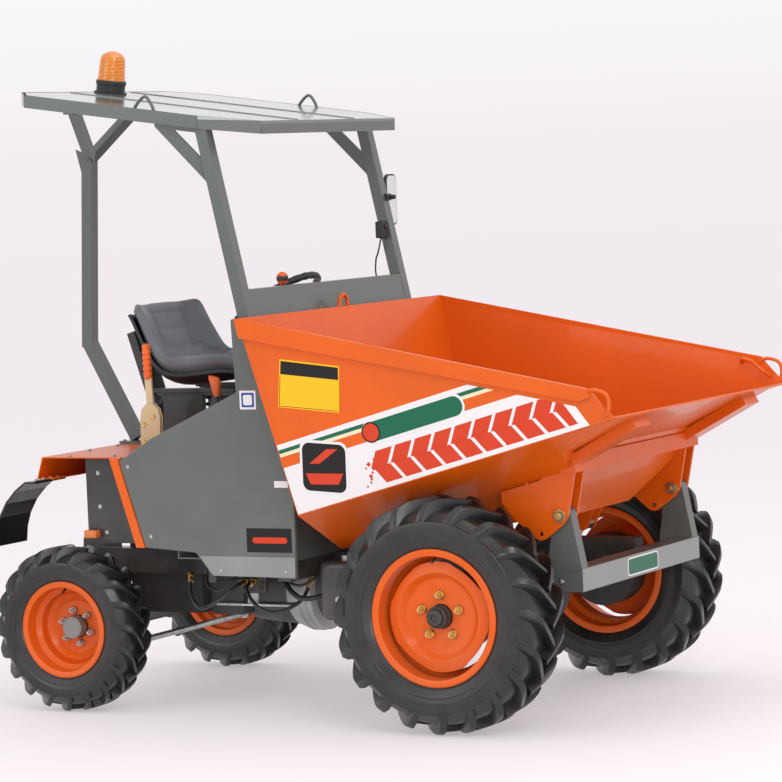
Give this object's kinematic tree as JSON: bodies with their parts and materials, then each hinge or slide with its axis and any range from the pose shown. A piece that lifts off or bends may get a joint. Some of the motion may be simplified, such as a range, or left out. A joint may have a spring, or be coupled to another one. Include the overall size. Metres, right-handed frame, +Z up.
{
  "type": "site dumper",
  "caption": "Small four-wheel site dumper with a front-tipping skip, rear-wheel steering, a driver's seat over the engine and a flat canopy.",
  "frame": {"origin": "on the ground at the middle of the machine's length and width", "axes": "+Z up, -Y forwards where the skip tips out, +X to the machine's left"},
  "size_m": [1.526, 2.435, 2.2642],
  "materials": {
    "chassis_frame": "satin black",
    "front_bumper": "satin grey paint",
    "front_axle": "satin black",
    "gearbox": "light grey painted casting",
    "engine_block": "dark casting",
    "rear_axle": "satin black",
    "knuckle_rear_left": "satin black",
    "knuckle_rear_right": "satin black",
    "tie_rod": "plated",
    "front_bulkhead": "satin grey-green paint",
    "floor_plate": "satin grey-green paint",
    "side_panel_left": "satin grey-green paint",
    "side_panel_right": "satin grey-green paint",
    "rear_deck": "gloss orange paint",
    "rear_side_plate_left": "satin dark grey",
    "rear_side_plate_right": "satin dark grey",
    "marker_lamp_left": "orange lens",
    "marker_lamp_right": "orange lens",
    "mudguard_left": "black rubber sheet",
    "mudguard_right": "black rubber sheet",
    "canopy_post_front_left": "satin grey-green paint",
    "canopy_post_front_right": "satin grey-green paint",
    "canopy_post_rear": "satin grey-green paint",
    "canopy_roof": "satin grey-green paint",
    "beacon_base": "black",
    "beacon_lens": "amber lens",
    "mirror": "moulded grey",
    "seat_base": "satin black",
    "seat": "dark grey vinyl",
    "steering_column": "satin black",
    "steering_wheel": "black",
    "brake_lever": "cream paint",
    "brake_grip": "orange",
    "gear_lever": "orange",
    "tip_lever": "orange",
    "skip": "gloss orange paint",
    "tip_cylinder_barrel": "satin black",
    "tip_cylinder_rod": "polished",
    "tyre_front_left": "dark rubber",
    "rim_front_left": "gloss orange paint",
    "tyre_front_right": "dark rubber",
    "rim_front_right": "gloss orange paint",
    "tyre_rear_left": "dark rubber",
    "rim_rear_left": "gloss orange paint",
    "tyre_rear_right": "dark rubber",
    "rim_rear_right": "gloss orange paint"
  },
  "bodies": {
    "chassis": {"chassis_frame": "chassis_frame", "front_bumper": "front_bumper", "front_axle": "front_axle", "gearbox": "gearbox", "engine_block": "engine_block", "rear_axle": "rear_axle", "front_bulkhead": "front_bulkhead", "floor_plate": "floor_plate", "side_panel_left": "side_panel_left", "side_panel_right": "side_panel_right", "rear_deck": "rear_deck", "rear_side_plate_left": "rear_side_plate_left", "rear_side_plate_right": "rear_side_plate_right", "marker_lamp_left": "marker_lamp_left", "marker_lamp_right": "marker_lamp_right", "mudguard_left": "mudguard_left", "mudguard_right": "mudguard_right", "canopy_post_front_left": "canopy_post_front_left", "canopy_post_front_right": "canopy_post_front_right", "canopy_post_rear": "canopy_post_rear", "canopy_roof": "canopy_roof", "beacon_base": "beacon_base", "beacon_lens": "beacon_lens", "mirror": "mirror", "seat_base": "seat_base", "seat": "seat", "steering_column": "steering_column", "brake_lever": "brake_lever", "brake_grip": "brake_grip", "gear_lever": "gear_lever", "tip_lever": "tip_lever"},
    "skip": {"skip": "skip"},
    "tip_barrel": {"tip_cylinder_barrel": "tip_cylinder_barrel"},
    "tip_rod": {"tip_cylinder_rod": "tip_cylinder_rod"},
    "wheel_front_left": {"tyre_front_left": "tyre_front_left", "rim_front_left": "rim_front_left"},
    "wheel_front_right": {"tyre_front_right": "tyre_front_right", "rim_front_right": "rim_front_right"},
    "wheel_rear_left": {"tyre_rear_left": "tyre_rear_left", "rim_rear_left": "rim_rear_left"},
    "wheel_rear_right": {"tyre_rear_right": "tyre_rear_right", "rim_rear_right": "rim_rear_right"},
    "knuckle_left": {"knuckle_rear_left": "knuckle_rear_left"},
    "knuckle_right": {"knuckle_rear_right": "knuckle_rear_right"},
    "tie_rod": {"tie_rod": "tie_rod"},
    "steering_wheel": {"steering_wheel": "steering_wheel"}
  },
  "joints": [
    {"name": "wheel_front_left_spin", "type": "hinge", "parent": "chassis", "child": "wheel_front_left", "pos_m": [0.638, -0.578, 0.38], "axis": [1, 0, 0], "continuous": true},
    {"name": "wheel_front_right_spin", "type": "hinge", "parent": "chassis", "child": "wheel_front_right", "pos_m": [-0.638, -0.578, 0.38], "axis": [1, 0, 0], "continuous": true},
    {"name": "wheel_rear_left_spin", "type": "hinge", "parent": "knuckle_left", "child": "wheel_rear_left", "pos_m": [0.526, 0.934, 0.284], "axis": [1, 0, 0], "continuous": true},
    {"name": "wheel_rear_right_spin", "type": "hinge", "parent": "knuckle_right", "child": "wheel_rear_right", "pos_m": [-0.526, 0.934, 0.284], "axis": [1, 0, 0], "continuous": true},
    {"name": "steer_right", "type": "hinge", "parent": "chassis", "child": "knuckle_right", "pos_m": [-0.395, 0.934, 0.284], "axis": [0, 0, 1], "range_deg": [-32, 32]},
    {"name": "steer_left", "type": "hinge", "parent": "chassis", "child": "knuckle_left", "pos_m": [0.395, 0.934, 0.284], "axis": [0, 0, 1], "range_deg": [-33, 33]},
    {"name": "tie_rod_pivot", "type": "hinge", "parent": "knuckle_right", "child": "tie_rod", "pos_m": [-0.36, 0.784, 0.216], "axis": [0, 0, 1], "range_deg": [-33, 33]},
    {"name": "steering_wheel_turn", "type": "hinge", "parent": "chassis", "child": "steering_wheel", "pos_m": [0.05, 0.405, 1.365], "axis": [0, 0.5299, 0.848], "range_deg": [-200, 200]},
    {"name": "skip_tip", "type": "hinge", "parent": "chassis", "child": "skip", "pos_m": [0, -0.911, 0.683], "axis": [1, 0, 0], "range_deg": [0, 70]},
    {"name": "tip_barrel_pivot", "type": "hinge", "parent": "chassis", "child": "tip_barrel", "pos_m": [0.118, -0.15, 0.36], "axis": [-1, 0, 0], "range_deg": [0, 15.6]},
    {"name": "tip_rod_slide", "type": "slide", "parent": "tip_barrel", "child": "tip_rod", "axis": [0, -0.9262, 0.377], "range_m": [0, 0.156]}
  ],
  "couplings": [
    {"joint": "steer_left", "follows": "steer_right", "ratio": 1},
    {"joint": "tie_rod_pivot", "follows": "steer_right", "ratio": -1},
    {"joint": "steering_wheel_turn", "follows": "steer_right", "ratio": -6},
    {"joint": "tip_barrel_pivot", "follows": "skip_tip", "ratio": 0.22199},
    {"joint": "tip_rod_slide", "follows": "skip_tip", "m_per_rad": 0.12737}
  ]
}
